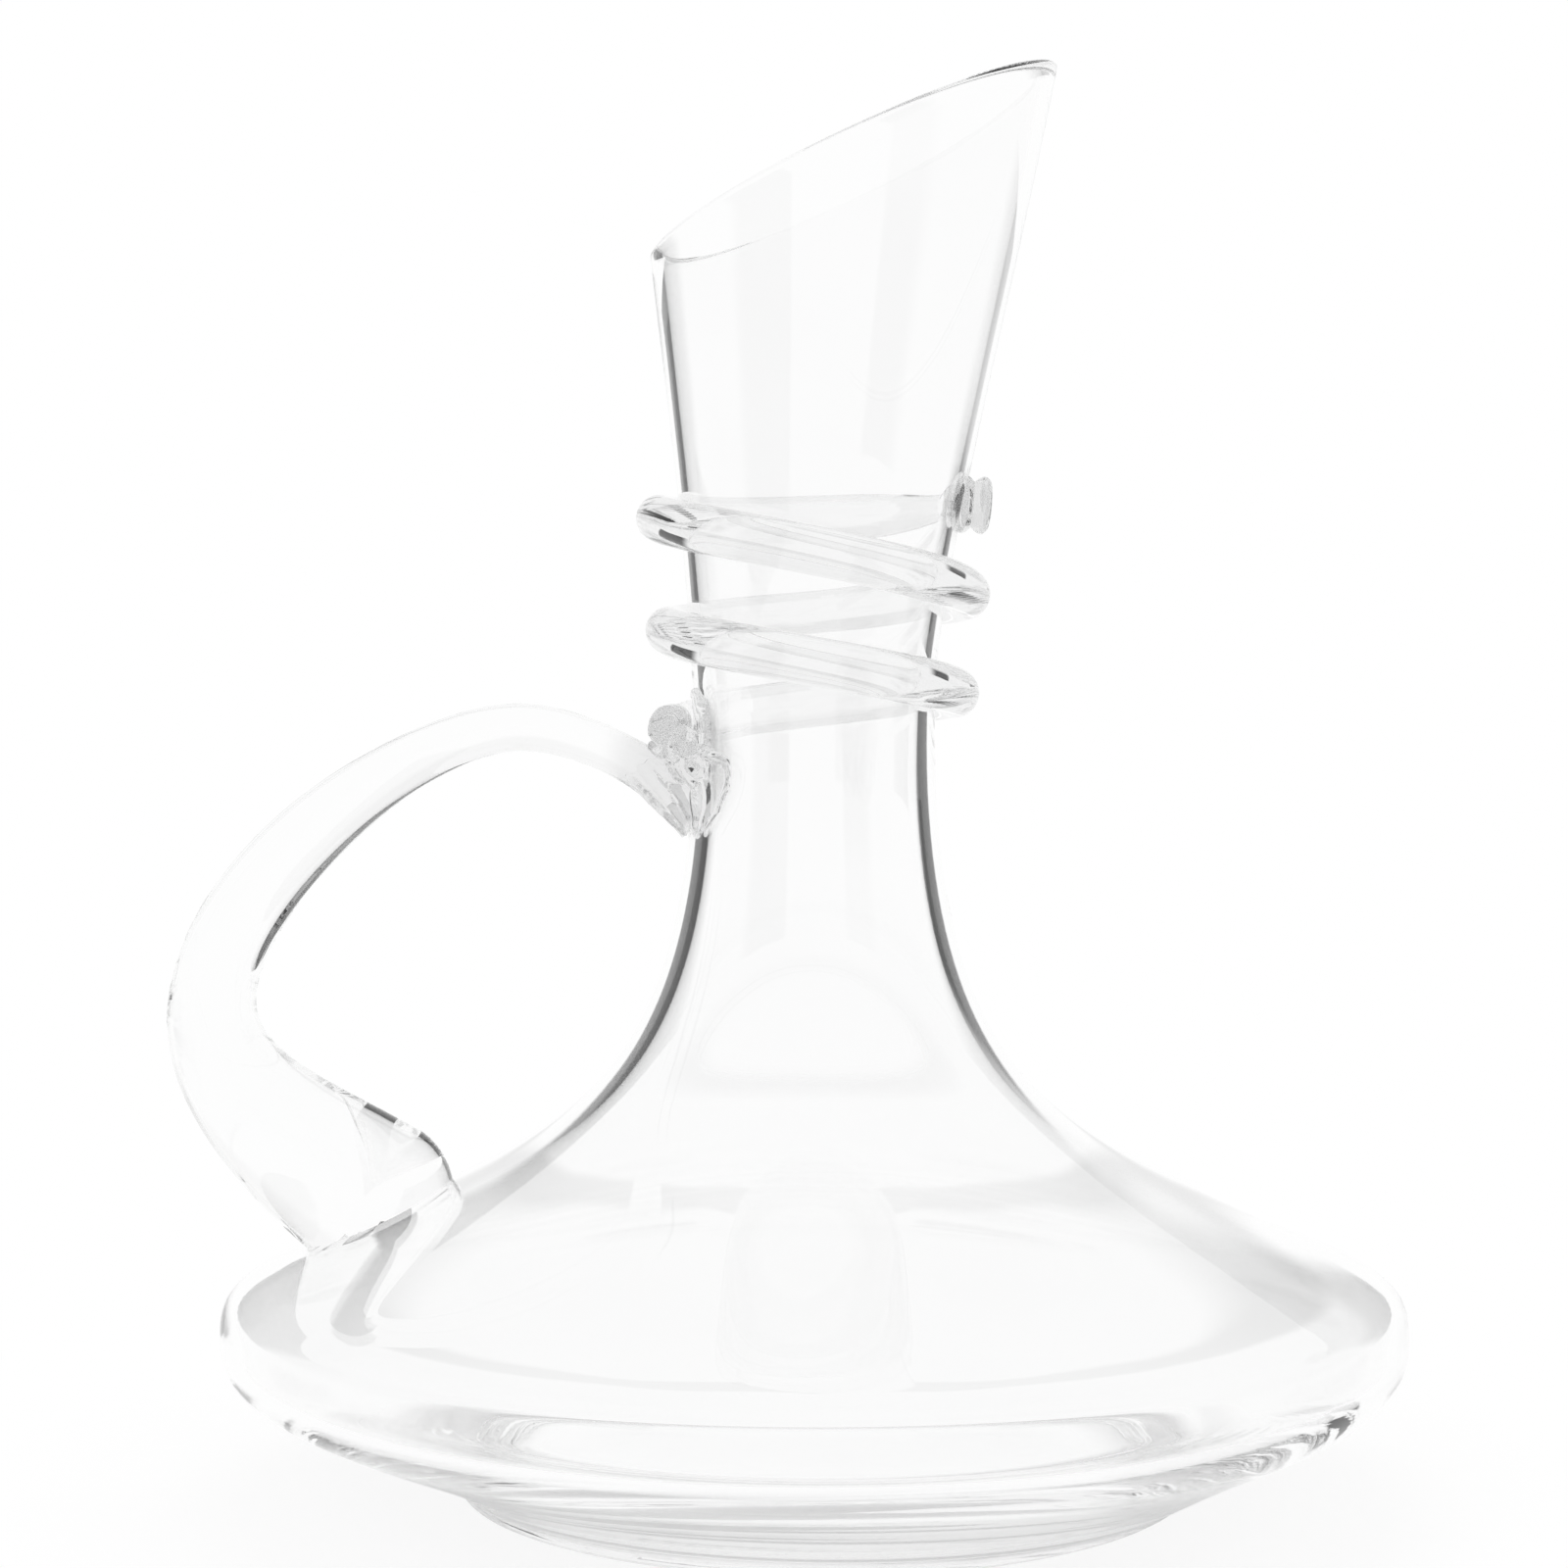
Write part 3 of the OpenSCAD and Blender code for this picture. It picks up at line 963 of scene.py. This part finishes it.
whiteTent = {
    "fill": 0.75,  # what it gives to all but the eye, gloss and glass
    "side": (17.0, 27.0),  # degrees off the line of sight: it turns grey to either side
    "sideLevel": {"left": 0.87, "right": 0.7},
    "canopy": (9.0, 17.0),  # degrees up: it turns grey overhead
    "canopyLevel": 0.78,
    "glossLevel": 0.95,  # what gloss sees overhead
    "ground": (16.0, 36.0),  # degrees down: it turns grey underfoot, to either side
    "groundSide": (14.0, 40.0),
    "groundLevel": 0.8,
    "front": (-0.35, 0.3),  # how far toward the eye, soft between
    "frontLevel": 0.1,  # what light that was turned back sees there
}

# painted reflection: a dark gap round the tent's back window that only the gloss of the outer faces sees,
# which the shoulder mirrors
paintedReflectionGap = {
    # (degrees up, how far to the side) on its two edges
    "inner": [(0, 0.2), (10, 0.26), (18, 0.325), (27, 0.355), (36, 0.362), (44, 0.352), (53, 0.288),
              (61, 0.2), (67.8, 0.0), (90, 0.0)],
    "outer": [(0, 0.2), (8, 0.265), (16, 0.34), (25, 0.398), (38, 0.414), (46, 0.395), (53, 0.354),
              (61, 0.27), (68.4, 0.166), (72.5, 0.0), (90, 0.0)],
    "soft": 0.012,
    "low": 0.42,  # how dark it is low down and high up, and the degrees between
    "high": 0.97,
    "rise": (14.0, 34.0),
}


def flowing(tree, value, knots):
    # a smooth curve through the knots, all between 0 and 1
    node = addNode(tree, "FloatCurve")
    curve = node.mapping.curves[0]
    for point in knots[1:-1]:
        curve.points.new(*point)
    for point, knot in zip(curve.points, knots):
        point.location = knot
    node.mapping.update()
    feed(tree, node.inputs["Value"], value)
    return node.outputs["Value"]


def paintedGapShade(tree, x, y, rise):
    # how dark the painted reflection is between the tent's back window and its outer walls
    g = paintedReflectionGap
    height = mathStep(tree, "DIVIDE", rise, 90.0)
    sideways = mathStep(tree, "ABSOLUTE", x)
    bands = []
    for edge in ("inner", "outer"):
        limit = flowing(tree, height, [(up / 90, aside) for up, aside in g[edge]])
        bands.append(softStep(tree, mathStep(tree, "SUBTRACT", sideways, limit), -g["soft"], g["soft"]))
    band = mathStep(tree, "SUBTRACT", *bands)
    more = mathStep(tree, "MULTIPLY", softStep(tree, rise, *g["rise"]), g["high"] - g["low"])
    shade = mathStep(tree, "MULTIPLY", band, mathStep(tree, "ADD", more, g["low"]))
    return mathStep(tree, "MULTIPLY", shade, mathStep(tree, "GREATER_THAN", y, 0.0))


def makeTent():
    # white to the eye; through glass the same white, a little grey at the sides and overhead
    t = whiteTent
    world = bpy.data.worlds.new("surroundings")
    bpy.context.scene.world = world
    world.use_nodes = True
    tree = world.node_tree
    rays = addNode(tree, "LightPath").outputs
    turn, x, y, z = turnedAway(tree, addNode(tree, "TexCoord").outputs["Generated"])
    rise = mathStep(tree, "DEGREES", mathStep(tree, "ARCSINE", z))
    overhead = softStep(tree, rise, *t["canopy"])

    # what is seen through the glass
    dim = pickSide(tree, x, 1 - t["sideLevel"]["left"], 1 - t["sideLevel"]["right"])
    aside = mathStep(tree, "MULTIPLY", softStep(tree, turn, *t["side"]), dim)
    underfoot = mathStep(tree, "MULTIPLY", softStep(tree, turn, *t["groundSide"]),
                         softStep(tree, mathStep(tree, "MULTIPLY", rise, -1.0), *t["ground"]))
    tall = mathStep(tree, "ADD", mathStep(tree, "MULTIPLY", overhead, 1 - t["canopyLevel"]),
                    mathStep(tree, "MULTIPLY", underfoot, 1 - t["groundLevel"]))
    front = softStep(tree, mathStep(tree, "MULTIPLY", y, -1.0), *t["front"])
    back = mathStep(tree, "MULTIPLY", mathStep(tree, "MULTIPLY", front, turnedBack(tree, rays)),
                    1 - t["frontLevel"])
    grey = mathStep(tree, "MAXIMUM", mathStep(tree, "MAXIMUM", aside, tall), back)
    level = opposite(tree, grey)

    # what its gloss mirrors; the gap, a painted dark reflection, shows only on the outer faces
    shine = opposite(tree, mathStep(tree, "MULTIPLY", overhead, 1 - t["glossLevel"]))
    outer = mathStep(tree, "LESS_THAN", rays["Transmission Depth"], 0.5)
    shine = mathStep(tree, "SUBTRACT", shine, mathStep(tree, "MULTIPLY", paintedGapShade(tree, x, y, rise), outer))

    seen = t["fill"]
    for kind, value in (("Is Transmission Ray", level), ("Is Glossy Ray", shine), ("Is Camera Ray", 1.0)):
        seen = mixStep(tree, "FLOAT", rays[kind], seen, value)
    shown = tree.nodes["Background"]
    feed(tree, shown.inputs["Color"], seen)
    shown.inputs["Strength"].default_value = 1.0


softLamps = {
    "aim": (0, 0, 0.12),
    "lamps": [  # (name, place, diameter, power)
        ("lampLeft", (-0.9, -0.7, 1.0), 0.7, 5.0),
        ("lampRight", (1.0, -0.3, 0.8), 0.6, 3.5),
        ("lampTop", (0.0, 0.5, 1.3), 0.9, 5.0),
    ],
}


def makeLamps():
    for name, place, size, power in softLamps["lamps"]:
        data = bpy.data.lights.new(name, "AREA")
        data.shape = "DISK"
        data.size = size
        data.energy = power
        lamp = addThing(name, data)
        lamp.location = place
        way = Vector(softLamps["aim"]) - Vector(place)
        lamp.rotation_euler = way.to_track_quat("-Z", "Y").to_euler()
        lamp.visible_glossy = False
        lamp.visible_transmission = False


photoCamera = {
    "place": (-0.00085, -0.5788, 0.1448),
    "down": math.radians(2.04),
    "turn": math.radians(0.44),
    "lens": 74.97,
    "sensor": 36.0,
    "nearest": 0.01,
}


def makeCamera():
    c = photoCamera
    data = bpy.data.cameras.new("camera")
    data.sensor_width = c["sensor"]
    data.lens = c["lens"]
    data.clip_start = c["nearest"]
    camera = addThing("camera", data)
    camera.location = c["place"]
    camera.rotation_euler = (math.radians(90) - c["down"], 0, c["turn"])
    bpy.context.scene.camera = camera


makeTable()
makeShadeFlags()
makeTent()
makeLamps()
makeCamera()
bpy.context.scene.view_settings.view_transform = "Standard"
lightPaths = bpy.context.scene.cycles
turns = 64  # thick glass turns light many times before it lets it go
lightPaths.max_bounces = turns
lightPaths.transmission_bounces = turns
lightPaths.glossy_bounces = turns
print("carafe: studio ready")
